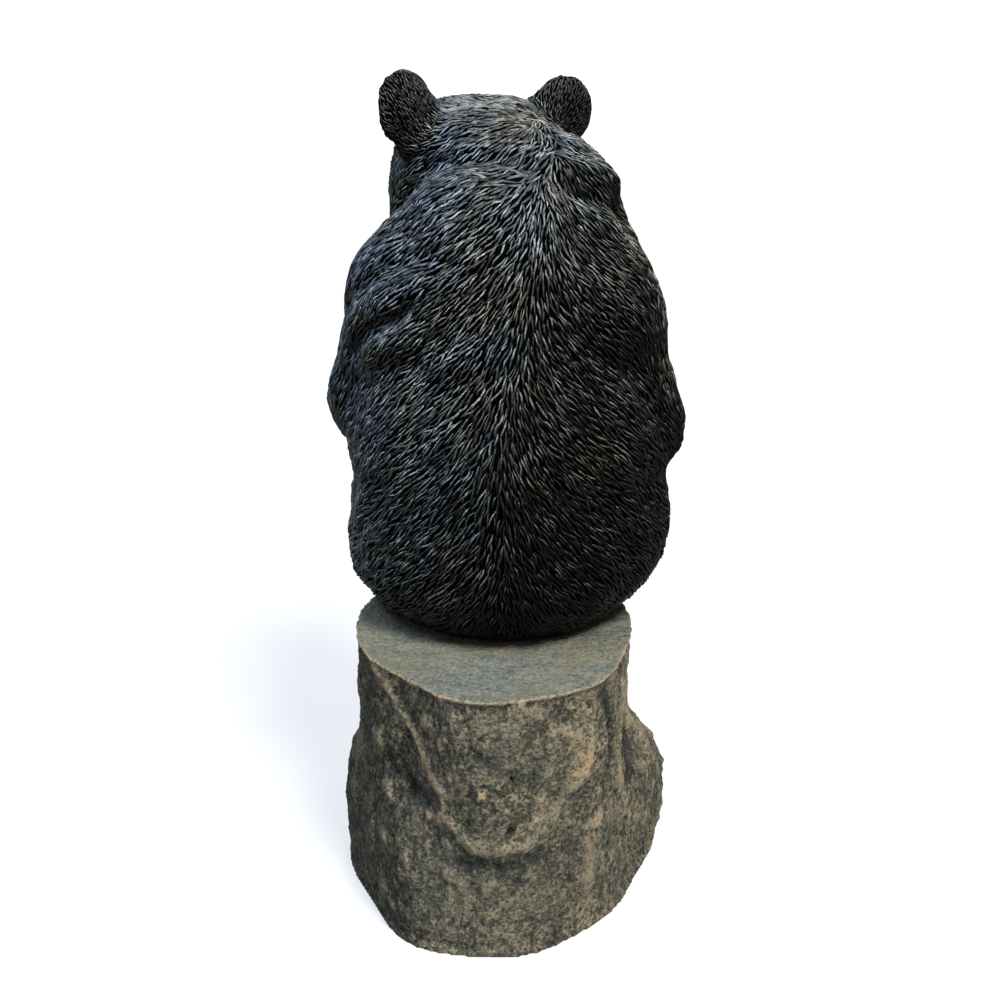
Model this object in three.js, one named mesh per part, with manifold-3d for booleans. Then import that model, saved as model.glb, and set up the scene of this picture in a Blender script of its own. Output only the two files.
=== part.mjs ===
// A garden figurine: a black bear seated on a tree stump, its head turned to its left.
// Millimetres, +Z up. The bear faces -Y and its left side is +X.
// The origin is on the ground under the stump.
import * as THREE from "three";
import { mergeVertices } from "three/addons/utils/BufferGeometryUtils.js";
import Module from "manifold-3d";

const wasm = await Module();
wasm.setup();

// Driving dimensions of the figurine.
const BEAR_HEIGHT = 290; // from the seat to the ear tips
const STUMP_HEIGHT = 160; // from the ground to the sawn top
const STUMP_TOP_RADIUS = 75; // of the sawn top
const ROOT_REACH = 24; // how far the root flares stand out past the trunk
const ROOT_HEIGHT = 113; // how high the root flares climb the trunk
const SEAT_JOINT = 0.3; // the joint between the bear and the stump
const CLAW_LENGTH = 8; // of a claw, from the toe
const LOCK_LENGTH = 58; // of a carved lock of fur
const LOCK_WIDTH = 29;
const LOCK_DEPTH = 3; // how far a lock stands out of the coat
const LOCK_ROW = 34; // from one row of locks down to the next
const LOCK_PITCH = 29; // from one lock to the next in its row

// How finely the forms are faceted.
const BACK_FACET = 12.5;
const LIMB_FACET = 10.4;
const HEAD_FACET = 7.7;
const STUMP_SIDES = 44;
const STUMP_TIERS = 12;

const LEFT = 1;
const RIGHT = -1;
const SIDES = [LEFT, RIGHT];

// The bear is laid out in hundredths of its own height, from the middle of its seat.
const UNIT = BEAR_HEIGHT / 100;
const SEAT_AT = new THREE.Vector3(-2.5, 0, STUMP_HEIGHT);

// Forms are signed distances: below zero inside, above zero outside.
function ball(centre, radii) {
  const [cx, cy, cz] = centre;
  const [rx, ry, rz] = radii;
  return (x, y, z) => {
    const near = Math.hypot((x - cx) / rx, (y - cy) / ry, (z - cz) / rz);
    const slope = Math.hypot((x - cx) / rx ** 2, (y - cy) / ry ** 2, (z - cz) / rz ** 2);
    return slope < 1e-9 ? -Math.min(rx, ry, rz) : (near * (near - 1)) / slope;
  };
}

// A limb tapers from one round end to the other.
function limb(from, to, fromRadius, toRadius) {
  const along = to.map((v, i) => v - from[i]);
  const length2 = along.reduce((sum, v) => sum + v * v, 0);
  return (x, y, z) => {
    const [dx, dy, dz] = [x - from[0], y - from[1], z - from[2]];
    const t = THREE.MathUtils.clamp((dx * along[0] + dy * along[1] + dz * along[2]) / length2, 0, 1);
    const radius = fromRadius + (toRadius - fromRadius) * t;
    return Math.hypot(dx - along[0] * t, dy - along[1] * t, dz - along[2] * t) - radius;
  };
}

// Joins forms with a soft fillet of the given width, as clay is smoothed over a joint.
function melt(width, ...forms) {
  return (x, y, z) => {
    let joined = forms[0](x, y, z);
    for (let i = 1; i < forms.length; i++) {
      const other = forms[i](x, y, z);
      const overlap = Math.max(width - Math.abs(joined - other), 0) / width;
      joined = Math.min(joined, other) - (overlap * overlap * width) / 4;
    }
    return joined;
  };
}

// Presses one form into another, with a soft edge of the given width.
function press(width, form, tool) {
  return (x, y, z) => {
    const a = form(x, y, z);
    const b = -tool(x, y, z);
    const overlap = Math.max(width - Math.abs(a - b), 0) / width;
    return Math.max(a, b) + (overlap * overlap * width) / 4;
  };
}

// Places a form that is modelled about its own origin.
function placed(form, origin, turn) {
  const back = new THREE.Matrix4().makeRotationFromEuler(turn).setPosition(...origin).invert().elements;
  return (x, y, z) =>
    form(
      back[0] * x + back[4] * y + back[8] * z + back[12],
      back[1] * x + back[5] * y + back[9] * z + back[13],
      back[2] * x + back[6] * y + back[10] * z + back[14],
    );
}

// The head looks towards +X from straight ahead, tips its nose down and leans a little to its right.
const HEAD_AT = new THREE.Vector3(5, -22, 80.2);
const HEAD_TURN = new THREE.Euler(
  THREE.MathUtils.degToRad(7),
  THREE.MathUtils.degToRad(-6),
  THREE.MathUtils.degToRad(27),
  "ZXY",
);
const EYE_AT = [6.2, -14.6, 3.2];
const NOSE_AT = [0, -26.7, -2.2];

function head() {
  const skull = ball([-0.4, 1, 0], [14, 15, 12.4]);
  const brow = ball([0, -8.5, 2.8], [10, 9, 7.8]);
  const cheeks = SIDES.map((side) => ball([6.2 * side, -2.6, -5.5], [8.2, 10, 9.2]));
  const muzzle = limb([0, -10, -3.2], [0, -21.5, -4.8], 8.4, 6.2);
  const jaw = limb([0, -8, -9.6], [0, -20, -10.6], 6, 4.4);
  const sockets = SIDES.map((side) => ball([EYE_AT[0] * side, EYE_AT[1] - 1.8, EYE_AT[2]], [3, 2.4, 2.4]));
  let face = melt(5, skull, brow, ...cheeks);
  face = melt(3.4, face, muzzle);
  face = melt(1.2, face, jaw);
  for (const socket of sockets) face = press(2, face, socket);
  return placed(face, HEAD_AT, HEAD_TURN);
}

function torso() {
  const hips = ball([0, -11.5, 13], [27, 22.5, 19]);
  const back = ball([-0.5, -9, 35], [27.6, 22, 28]);
  const shoulders = ball([0.5, -8.5, 57], [24, 17.5, 20]);
  const hump = ball([1.5, -6.5, 72], [14.5, 11.5, 12]);
  const belly = ball([0, -22, 23], [22, 18.5, 20]);
  const chest = ball([0, -18, 53], [18, 14.5, 19]);
  const nape = ball([-7.2, -14, 75], [13, 11, 12.5]);
  const throat = limb([0, -12, 66], [3.4, -20, 75], 16, 12.5);
  return melt(6, melt(11, hips, back), shoulders, hump, belly, chest, nape, throat);
}

// Elbow and paw of each front leg: the left elbow is held a little higher and further forward.
const ELBOW_AT = { [LEFT]: [23.5, -17, 39], [RIGHT]: [-23.4, -13, 35.5] };
const PAW_AT = { [LEFT]: [13.5, -40, 27], [RIGHT]: [-13.5, -40, 26.5] };
const SHOULDER_RISE = { [LEFT]: 1.5, [RIGHT]: 0 };

function arm(side) {
  const elbow = ELBOW_AT[side];
  const paw = PAW_AT[side];
  const top = 59 + SHOULDER_RISE[side];
  const shoulder = ball([16.8 * side, -10, top], [9.8, 12, 13]);
  const upper = limb([18 * side, -11, top - 4], elbow, 9.6, 8.6);
  const wrist = [paw[0] + 1 * side, paw[1] + 5.5, paw[2] + 1.2];
  const forearm = limb(elbow, wrist, 8.2, 6.6);
  const palm = ball(paw, [7.4, 7.4, 5.4]);
  return melt(4, shoulder, upper, forearm, palm);
}

// Knee, heel and ball of each hind leg, which hangs over the front of the stump.
const KNEE_AT = 16.8;
const HEEL_AT = [16.4, -36.5, -15];
const SOLE_AT = [17.6, -45, -9];
const HAUNCH_OUT = { [LEFT]: 0, [RIGHT]: 2.2 };

function leg(side) {
  const mirror = ([x, y, z]) => [x * side, y, z];
  const out = HAUNCH_OUT[side];
  const haunch = ball(mirror([15.2 + out, -13.5, 14 + 1.5 * out]), [13.2, 17, 15.5]);
  const thigh = limb(mirror([14, -17, 11]), mirror([KNEE_AT, -34.5, 9.5]), 13.5, 11.2);
  const shin = limb(mirror([KNEE_AT, -36, 8]), mirror([16.4, -36.5, -8]), 10, 8.2);
  const foot = limb(mirror(HEEL_AT), mirror(SOLE_AT), 6.8, 7);
  return melt(4.5, haunch, thigh, shin, foot);
}

function bearForm() {
  let form = melt(3.6, torso(), ...SIDES.map(leg));
  form = melt(2.4, form, ...SIDES.map(arm));
  return melt(3.2, form, head());
}

// Stops along one axis, from low to high, no further apart than the facet allows.
function stops(low, high, facet) {
  const count = Math.ceil((high - low) / facet);
  return Array.from({ length: count + 1 }, (_, i) => low + ((high - low) * i) / count);
}

// The corners and edges of a grid cell.
const CORNERS = [0, 1, 2, 3, 4, 5, 6, 7].map((c) => [c & 1, (c >> 1) & 1, c >> 2]);
const EDGES = CORNERS.flatMap((_, a) => [1, 2, 4].filter((bit) => !(a & bit)).map((bit) => [a, a | bit]));

// How many regions, inside and outside together, the surface parts a cell into.
function regionsOf(inside) {
  const root = inside.map((_, i) => i);
  const find = (i) => (root[i] === i ? i : find(root[i]));
  for (const [a, b] of EDGES) if (inside[a] === inside[b]) root[find(a)] = find(b);
  return root.filter((r, i) => r === i).length;
}

// A grid of distances. Nooks too narrow for its cells are filled, so that a cell holds one sheet at most.
function sample(form, xs, ys, zs) {
  const at = (i, j, k) => (k * ys.length + j) * xs.length + i;
  const value = new Float64Array(xs.length * ys.length * zs.length);
  zs.forEach((z, k) => ys.forEach((y, j) => xs.forEach((x, i) => (value[at(i, j, k)] = form(x, y, z)))));
  const cells = [];
  for (let k = 0; k + 1 < zs.length; k++)
    for (let j = 0; j + 1 < ys.length; j++)
      for (let i = 0; i + 1 < xs.length; i++) cells.push(CORNERS.map(([a, b, c]) => at(i + a, j + b, k + c)));
  for (let filled = true; filled; ) {
    filled = false;
    for (const cell of cells) {
      if (regionsOf(cell.map((c) => value[c] < 0)) <= 2) continue;
      const open = cell.filter((c) => value[c] >= 0);
      value[open.reduce((a, b) => (value[b] < value[a] ? b : a))] = -0.05;
      filled = true;
    }
  }
  return { value, cells };
}

// Skins a form: one point in each cell that its surface crosses, and one quad across each crossed edge.
function skin(form, xs, ys, zs) {
  const { value, cells } = sample(form, xs, ys, zs);
  const step = [1, xs.length, xs.length * ys.length];
  const cornerAt = (c) => new THREE.Vector3(
    xs[c % step[1]],
    ys[Math.floor(c / step[1]) % ys.length],
    zs[Math.floor(c / step[2])],
  );

  const points = [];
  const pointOf = new Map();
  for (const cell of cells) {
    const edges = EDGES.map(([a, b]) => [cell[a], cell[b]]);
    const crossings = edges.filter(([a, b]) => value[a] < 0 !== value[b] < 0);
    if (!crossings.length) continue;
    const middle = new THREE.Vector3();
    for (const [a, b] of crossings) {
      middle.add(cornerAt(a).lerp(cornerAt(b), value[a] / (value[a] - value[b])));
    }
    pointOf.set(cell[0], points.length);
    points.push(settle(form, middle.divideScalar(crossings.length)));
  }

  const faces = [];
  for (const [here] of cells) {
    for (let axis = 0; axis < 3; axis++) {
      const inside = value[here] < 0;
      if (inside === value[here + step[axis]] < 0) continue;
      const [u, w] = [step[(axis + 1) % 3], step[(axis + 2) % 3]];
      const quad = [here - u - w, here - w, here, here - u].map((cell) => pointOf.get(cell));
      if (!inside) quad.reverse();
      const [a, b, c, d] = quad;
      const across = points[a].distanceTo(points[c]) < points[b].distanceTo(points[d]);
      faces.push(...(across ? [a, b, c, a, c, d] : [a, b, d, b, c, d]));
    }
  }
  const geometry = new THREE.BufferGeometry().setFromPoints(points);
  geometry.setIndex(faces);
  return geometry;
}

function slopeAt(form, point) {
  const reach = 0.05;
  const { x, y, z } = point;
  const off = form(x, y, z);
  return new THREE.Vector3(
    form(x + reach, y, z) - off,
    form(x, y + reach, z) - off,
    form(x, y, z + reach) - off,
  ).divideScalar(reach);
}

// Draws a point onto the surface of a form.
function settle(form, point, passes = 2) {
  for (let pass = 0; pass < passes; pass++) {
    const slope = slopeAt(form, point);
    const steep = Math.max(slope.lengthSq(), 0.25);
    const off = THREE.MathUtils.clamp(form(point.x, point.y, point.z), -1, 1);
    point.addScaledVector(slope, -off / steep);
  }
  return point;
}

// Ears, eyes, nose, toes and claws are forms of their own, each grown into the head or a paw.
function bulb(centre, radii, sides, rings) {
  return new THREE.SphereGeometry(1, sides, rings).scale(...radii).translate(...centre);
}

// The ear is a round cup: its front is pushed in from the rim.
function earGeometry(side) {
  const geometry = new THREE.SphereGeometry(1, 12, 8);
  const position = geometry.attributes.position;
  for (let i = 0; i < position.count; i++) {
    const y = position.getY(i);
    if (y < 0) position.setY(i, y + 1.5 * y * y);
  }
  const turn = new THREE.Euler(0, THREE.MathUtils.degToRad(16 * side), THREE.MathUtils.degToRad(10 * side));
  const place = new THREE.Matrix4().makeRotationFromEuler(turn).setPosition(15 * side, 2.6, 9.2);
  return geometry.scale(5.5, 3.6, 7.2).applyMatrix4(place);
}

// A claw is a three-sided cone that dips towards its tip.
const CLAW_DIP = THREE.MathUtils.degToRad(20);

function clawGeometry() {
  const length = (1.6 * CLAW_LENGTH) / UNIT;
  const geometry = new THREE.ConeGeometry(1.3, length, 3).rotateX(Math.PI);
  return geometry.translate(0, -length * 0.4, 0).rotateX(CLAW_DIP);
}

// Five toes side by side, bowed back and down from the middle one by shares of the pitch between them.
const DIGITS = [-2, -1, 0, 1, 2];
const BOW_BACK = 0.13;

function toesOf(middle, pitch, radii, bowDown) {
  return DIGITS.flatMap((digit) => {
    const bow = pitch * digit * digit;
    const at = [middle[0] + digit * pitch, middle[1] + BOW_BACK * bow, middle[2] - bowDown * bow];
    const claw = clawGeometry().translate(at[0], at[1] - 0.6 * radii[1], at[2] + 0.3 * radii[2]);
    return [bulb(at, radii, 5, 4), claw];
  });
}

function detailGeometries() {
  const place = new THREE.Matrix4().makeRotationFromEuler(HEAD_TURN).setPosition(HEAD_AT);
  const nose = bulb(NOSE_AT, [3.6, 2.6, 2.8], 8, 6);
  const eyes = SIDES.map((side) => {
    const at = [EYE_AT[0] * side, EYE_AT[1] + 0.7, EYE_AT[2]];
    return bulb(at, [1.9, 1.9, 1.9], 7, 5);
  });
  const face = [nose, ...eyes, ...SIDES.map(earGeometry)].map((form) => form.applyMatrix4(place));
  const paws = SIDES.flatMap((side) => {
    const [x, y, z] = PAW_AT[side];
    return toesOf([x, y - 6.6, z - 0.8], 3, [1.45, 2.9, 2.5], 0);
  });
  const feet = SIDES.flatMap((side) => {
    const [x, y, z] = SOLE_AT;
    return toesOf([x * side, y - 3.8, z + 5.2], 3.1, [1.5, 3, 2.8], 0.08);
  });
  return [...face, ...paws, ...feet];
}

// The coat parts along the spine, and the parting leans to the bear's right between these heights.
// The comb runs down from it and outwards, most at the flanks.
const PARTING_LEAN = 8.5;
const PARTING_BENDS = [30, 80];
const FLANK_AT = 24;
const COMB_OUT = 0.85;
const COMB_FORWARD = 0.25;

function combAt(point) {
  const parting = -PARTING_LEAN * THREE.MathUtils.smoothstep(point.z, ...PARTING_BENDS);
  const out = THREE.MathUtils.clamp((point.x - parting) / FLANK_AT, -1, 1);
  return new THREE.Vector3(COMB_OUT * out, -COMB_FORWARD * Math.abs(out), -1);
}

// The locks cover the back and flanks, in level rows round an upright core.
const COAT_HEIGHTS = [12, 80];
const COAT_SPREAD = THREE.MathUtils.degToRad(215);
const CORE_Y = -11;
const CORE_CLEAR = 45;

// A lock is left out where the coat turns under it by more than this, as at the point of an elbow.
const LOCK_BEND = Math.cos(THREE.MathUtils.degToRad(48));

// Where a level line from far out to the core first meets the form.
function surfaceAt(form, bearing, height) {
  const out = new THREE.Vector3(Math.cos(bearing), Math.sin(bearing), 0);
  const point = new THREE.Vector3(0, CORE_Y, height).addScaledVector(out, CORE_CLEAR);
  for (let pass = 0; pass < 60; pass++) point.addScaledVector(out, -0.7 * form(point.x, point.y, point.z));
  return point;
}

// A lock is a keel that hugs the form along the comb, widest near its tip, which lifts off the coat.
function lockGeometry(form, point) {
  const outward = slopeAt(form, point).normalize();
  const comb = combAt(point);
  const along = comb.addScaledVector(outward, -comb.dot(outward)).normalize();
  const across = new THREE.Vector3().crossVectors(outward, along);
  const [reach, width, depth] = [LOCK_LENGTH / 2 / UNIT, LOCK_WIDTH / 2 / UNIT, LOCK_DEPTH / UNIT];
  const geometry = new THREE.OctahedronGeometry(1);
  const position = geometry.attributes.position;
  for (let i = 0; i < position.count; i++) {
    const [u, v, w] = [position.getX(i), position.getY(i), position.getZ(i)];
    const onCoat = point.clone().addScaledVector(across, v * width);
    onCoat.addScaledVector(along, (u === 0 ? 0.2 : u) * reach);
    settle(form, onCoat, 5);
    const normal = slopeAt(form, onCoat).normalize();
    if (normal.dot(outward) < LOCK_BEND) return null;
    const lift = u > 0 ? 0.2 : 1.3 * w - 0.3;
    onCoat.addScaledVector(normal, lift * depth);
    position.setXYZ(i, onCoat.x, onCoat.y, onCoat.z);
  }
  return geometry;
}

// Each row starts half a lock on from the one above.
function lockGeometries(form) {
  const locks = [];
  const back = Math.PI / 2;
  const rows = Math.round(((COAT_HEIGHTS[1] - COAT_HEIGHTS[0]) * UNIT) / LOCK_ROW);
  for (let row = 0; row <= rows; row++) {
    const height = THREE.MathUtils.lerp(...COAT_HEIGHTS, row / rows);
    const girth = 1.15 * surfaceAt(form, back, height).distanceTo(new THREE.Vector3(0, CORE_Y, height));
    const count = Math.floor((COAT_SPREAD * girth * UNIT) / LOCK_PITCH);
    for (let i = 0; i < count; i++) {
      const bearing = back + COAT_SPREAD * ((i + 0.25 + 0.5 * (row % 2)) / count - 0.5);
      locks.push(lockGeometry(form, surfaceAt(form, bearing, height)));
    }
  }
  return locks.filter((lock) => lock);
}

// A solid of a closed geometry. The library's round forms have a seam, whose doubled points are merged first.
function solidOf(geometry) {
  const bare = geometry.clone();
  const seamed = bare.hasAttribute("uv");
  bare.deleteAttribute("normal");
  bare.deleteAttribute("uv");
  const closed = seamed ? mergeVertices(bare, 1e-4) : bare;
  return new wasm.Manifold(
    new wasm.Mesh({
      numProp: 3,
      vertProperties: new Float32Array(closed.attributes.position.array),
      triVerts: new Uint32Array(closed.index.array),
    }),
  );
}

function geometryOf(solid) {
  const { vertProperties, triVerts } = solid.getMesh();
  const geometry = new THREE.BufferGeometry();
  geometry.setAttribute("position", new THREE.BufferAttribute(vertProperties, 3));
  geometry.setIndex(new THREE.BufferAttribute(triVerts, 1));
  geometry.computeVertexNormals();
  return geometry;
}

// The stump, by bearing round the trunk's axis and by height. Bearing 0 is +X, and 90 is the back.
const TRUNK_AT = new THREE.Vector2(1.6, -3);

// Shallow lobes run up the trunk, leaning with height, and its waist is drawn in.
const LOBES = [
  { count: 3, proud: 1.6, phase: 0.6, lean: 0 },
  { count: 5, proud: 1.1, phase: -1.1, lean: 1.2 },
  { count: 7, proud: 1, phase: 0, lean: 3.1 },
];
const WAIST = 2.2;

const ROOTS = [
  { bearing: -24, width: 27, reach: 0.85 },
  { bearing: 203, width: 27, reach: 1.4 },
  { bearing: -92, width: 30, reach: 0.95 },
  { bearing: 54, width: 26, reach: 0.5 },
];

// Swellings and dents of the bark, their height and length as shares of the stump's height.
const KNOTS = [
  { bearing: 90, height: 0.74, width: 24, tall: 0.24, proud: 4 },
  { bearing: 96, height: 0.45, width: 16, tall: 0.14, proud: 3.6 },
  { bearing: 52, height: 0.68, width: 8, tall: 0.2, proud: -3.6 },
  { bearing: 64, height: 0.42, width: 9, tall: 0.16, proud: -3.8 },
  { bearing: 92, height: 0.25, width: 24, tall: 0.08, proud: -2.6 },
  { bearing: 134, height: 0.6, width: 6, tall: 0.4, proud: 2.6 },
  { bearing: 20, height: 0.6, width: 12, tall: 0.3, proud: 2.4 },
  { bearing: 172, height: 0.75, width: 12, tall: 0.2, proud: -2 },
  { bearing: 215, height: 0.75, width: 14, tall: 0.2, proud: 3 },
  { bearing: 250, height: 0.5, width: 12, tall: 0.3, proud: -3 },
  { bearing: 285, height: 0.62, width: 15, tall: 0.2, proud: 3.2 },
  { bearing: 320, height: 0.4, width: 10, tall: 0.3, proud: -3 },
];

// One at its own bearing, and fading over the given width to either side.
function fade(bearing, at, width) {
  const off = THREE.MathUtils.euclideanModulo(bearing - at + 180, 360) - 180;
  return Math.exp(-((off / width) ** 2));
}

function trunkRadius(bearing, z) {
  const turn = THREE.MathUtils.degToRad(bearing);
  const share = z / STUMP_HEIGHT;
  const climb = THREE.MathUtils.clamp(1 - z / ROOT_HEIGHT, 0, 1);
  const tuckedIn = 1 - 0.25 * climb ** 8;
  let radius = STUMP_TOP_RADIUS - WAIST * Math.sin(Math.PI * Math.min(share * 1.25, 1));
  for (const { count, proud, phase, lean } of LOBES) {
    radius += proud * Math.cos(count * turn + phase + lean * share);
  }
  for (const { bearing: at, width, reach } of ROOTS) {
    const flare = THREE.MathUtils.smoothstep(climb, 0, 0.6) * tuckedIn;
    radius += ROOT_REACH * reach * flare * fade(bearing, at, width);
  }
  for (const { bearing: at, height, width, tall, proud } of KNOTS) {
    const rise = (share - height) / tall;
    radius += proud * fade(bearing, at, width) * Math.exp(-(rise ** 2));
  }
  return radius;
}

// The stump, grown all round by the given amount.
function stumpGeometry(growth) {
  const height = STUMP_HEIGHT + 2 * growth;
  const geometry = new THREE.CylinderGeometry(1, 1, height, STUMP_SIDES, STUMP_TIERS);
  geometry.rotateX(Math.PI / 2).translate(0, 0, STUMP_HEIGHT / 2);
  const position = geometry.attributes.position;
  const point = new THREE.Vector3();
  for (let i = 0; i < position.count; i++) {
    point.fromBufferAttribute(position, i);
    const turn = Math.atan2(point.y, point.x);
    const onRim = Math.hypot(point.x, point.y) > 0.5;
    const z = THREE.MathUtils.clamp(point.z, 0, STUMP_HEIGHT);
    const radius = onRim ? trunkRadius(THREE.MathUtils.radToDeg(turn), z) + growth : 0;
    position.setXY(i, TRUNK_AT.x + radius * Math.cos(turn), TRUNK_AT.y + radius * Math.sin(turn));
  }
  return geometry;
}

// The bear: its skin, with the finer forms and the locks grown in, cut off where it sits on the stump.
function bearGeometry() {
  const xs = stops(-36, 36, LIMB_FACET / UNIT);
  const ys = [...stops(-62, -30, LIMB_FACET / UNIT), ...stops(-30, 20, BACK_FACET / UNIT).slice(1)];
  const zs = [
    ...stops(-34, 8, LIMB_FACET / UNIT),
    ...stops(8, 66, BACK_FACET / UNIT).slice(1),
    ...stops(66, 104, HEAD_FACET / UNIT).slice(1),
  ];
  const form = bearForm();
  let bear = solidOf(skin(form, xs, ys, zs));
  for (const detail of [...detailGeometries(), ...lockGeometries(form)]) bear = bear.add(solidOf(detail));
  const placedBear = geometryOf(bear).scale(UNIT, UNIT, UNIT).translate(...SEAT_AT);
  const cut = solidOf(placedBear).subtract(solidOf(stumpGeometry(SEAT_JOINT)));
  const largest = cut.decompose().reduce((a, b) => (b.volume() > a.volume() ? b : a));
  return geometryOf(largest);
}

function paint(name, color, roughness) {
  return new THREE.MeshStandardMaterial({ name, color, roughness, metalness: 0 });
}

function piece(name, geometry, material) {
  const mesh = new THREE.Mesh(geometry, material);
  mesh.name = name;
  return mesh;
}

const figurine = new THREE.Group();
figurine.name = "bear_on_stump";
figurine.add(piece("stump", stumpGeometry(0), paint("grey_bark", 0x6b6858, 0.85)));
figurine.add(piece("bear", bearGeometry(), paint("black_fur", 0x1d1e1f, 0.55)));

export default figurine;
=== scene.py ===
# %% [markdown]
# # A black bear on a tree stump
# The figurine is taken to be two cast pieces: a bear with its fur carved all over, and the stump under it.
# Both are solids in the part already. This script dresses them: the same forms with finer carving, and their paint.

import math

import bmesh
import bpy
import numpy as np
from mathutils import Matrix, Vector, noise
from mathutils.bvhtree import BVHTree
from mathutils.kdtree import KDTree


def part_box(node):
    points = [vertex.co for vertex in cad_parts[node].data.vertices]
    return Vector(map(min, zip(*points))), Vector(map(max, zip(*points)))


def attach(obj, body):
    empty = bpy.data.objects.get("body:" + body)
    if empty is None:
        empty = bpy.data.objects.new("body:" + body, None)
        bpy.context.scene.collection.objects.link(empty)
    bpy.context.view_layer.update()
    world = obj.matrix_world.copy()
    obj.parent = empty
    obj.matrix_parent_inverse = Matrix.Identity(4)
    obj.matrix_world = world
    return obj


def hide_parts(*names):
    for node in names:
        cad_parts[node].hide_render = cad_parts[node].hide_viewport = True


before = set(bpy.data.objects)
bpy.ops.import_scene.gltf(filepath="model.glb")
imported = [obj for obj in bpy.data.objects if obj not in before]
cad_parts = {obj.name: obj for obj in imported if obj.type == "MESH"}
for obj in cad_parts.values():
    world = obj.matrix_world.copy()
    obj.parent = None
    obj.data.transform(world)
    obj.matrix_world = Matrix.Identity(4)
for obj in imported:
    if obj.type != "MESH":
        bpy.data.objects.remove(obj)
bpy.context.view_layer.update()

# %% [markdown]
# The bear is laid out in hundredths of its own height, from the middle of its seat. The same units are used here,
# so that an eye or a claw can be placed by the numbers that its solid has.
# The head is turned to the bear's left, so its features are easier to place in a frame of its own.

# %% Units and the head's own frame
MM = 0.001
UNIT = 2.9 * MM
SEAT_AT = np.array((-2.5, 0, 160)) * MM
HEAD_AT = np.array((5, -22, 80.2))
HEAD_YAW, HEAD_PITCH, HEAD_LEAN = (math.radians(a) for a in (27, 7, -6))
HEAD_TURN = np.array(
    Matrix.Rotation(HEAD_YAW, 3, "Z") @ Matrix.Rotation(HEAD_PITCH, 3, "X") @ Matrix.Rotation(HEAD_LEAN, 3, "Y")
)
SIDES = (1, -1)


def to_units(points):
    return (points - SEAT_AT) / UNIT


def to_metres(points):
    return np.asarray(points) * UNIT + SEAT_AT


def to_head(points):
    return (points - HEAD_AT) @ HEAD_TURN


def from_head(points):
    return np.asarray(points) @ HEAD_TURN.T + HEAD_AT


print("nose at", to_metres(from_head((0, -26.7, -2.2))).round(4))

# %% [markdown]
# The photograph looks down on the bear's back from about head height. The camera comes first, because every
# later choice is judged through it. A long lens keeps the figure's sides upright.

# %% Camera
CAMERA_AT = (0, 0.697, 0.562)
CAMERA_DIP = math.radians(25.1)
CAMERA_LENS = 54
camera = bpy.data.objects.new("camera", bpy.data.cameras.new("camera"))
camera.location = CAMERA_AT
camera.rotation_euler = (math.pi / 2 - CAMERA_DIP, 0, math.pi)
camera.data.sensor_width = 36
camera.data.lens = CAMERA_LENS
bpy.context.scene.collection.objects.link(camera)
bpy.context.scene.camera = camera
print("camera at", CAMERA_AT, "dips", round(math.degrees(CAMERA_DIP), 1))

# %% [markdown]
# The floor is a plain pale disc with a pale backdrop round its edge, as in a photographer's studio. The backdrop is
# only there to be seen: it neither lights the figure nor shows in its gloss. The floor does not show in its gloss
# either, because no pale sheen lies on the real bear's low back. The light is that of an overcast sky:
# one wide soft lamp high over the bear's back, a cooler one by its side, and a pale world for the rest.

# %% Floor and light
FLOOR_RADIUS = 9
BACKDROP_HEIGHT = 9


def piece_of(bm, name, smooth=True):
    mesh = bpy.data.meshes.new(name)
    bm.normal_update()
    bm.to_mesh(mesh)
    bm.free()
    mesh.polygons.foreach_set("use_smooth", [smooth] * len(mesh.polygons))
    made = bpy.data.objects.new(name, mesh)
    bpy.context.scene.collection.objects.link(made)
    return made


def softbox(name, at, aim, size, watts, colour):
    lamp = bpy.data.lights.new(name, "AREA")
    lamp.shape = "DISK"
    lamp.size = size
    lamp.energy = watts
    lamp.color = colour
    made = bpy.data.objects.new(name, lamp)
    made.location = at
    made.rotation_euler = (Vector(aim) - Vector(at)).to_track_quat("-Z", "Y").to_euler()
    bpy.context.scene.collection.objects.link(made)


bm = bmesh.new()
bmesh.ops.create_circle(bm, cap_ends=True, segments=64, radius=FLOOR_RADIUS)
floor = piece_of(bm, "floor", smooth=False)
floor.visible_glossy = False
bm = bmesh.new()
made = bmesh.ops.create_circle(bm, segments=96, radius=FLOOR_RADIUS - 0.1)
drawn = bmesh.ops.extrude_edge_only(bm, edges=bm.edges[:])["geom"]
bmesh.ops.translate(bm, verts=[g for g in drawn if isinstance(g, bmesh.types.BMVert)], vec=(0, 0, BACKDROP_HEIGHT))
bmesh.ops.reverse_faces(bm, faces=bm.faces)
backdrop = piece_of(bm, "backdrop")
backdrop.visible_diffuse = backdrop.visible_glossy = backdrop.visible_shadow = False
softbox("key_lamp", (-0.6, 0.85, 2.15), (0, 0, 0.25), 0.7, 80, (1, 0.99, 0.97))
softbox("sky_lamp", (0.95, 0.35, 2.2), (0, 0, 0.35), 0.9, 36, (0.5, 0.7, 1))
softbox("far_lamp", (0, -3.2, 2.6), (0, -3, 0), 2.5, 95, (1, 1, 1))
world = bpy.data.worlds.new("world")
world.use_nodes = True
sky = world.node_tree.nodes["Background"].inputs
sky["Color"].default_value = (0.96, 0.98, 1, 1)
sky["Strength"].default_value = 0.3
bpy.context.scene.world = world
bpy.context.scene.view_settings.view_transform = "Standard"
print("floor radius", FLOOR_RADIUS, "m")

# %% [markdown]
# Every finish here is paint on cast resin, so every material is one Principled shader with node patterns for its
# colour and relief. A few short helpers keep the node code readable.


# %% Material helpers
def finish(name, roughness, specular):
    material = bpy.data.materials.new(name)
    material.use_nodes = True
    shader = material.node_tree.nodes["Principled BSDF"]
    shader.inputs["Roughness"].default_value = roughness
    shader.inputs["Specular IOR Level"].default_value = specular
    return material


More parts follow.
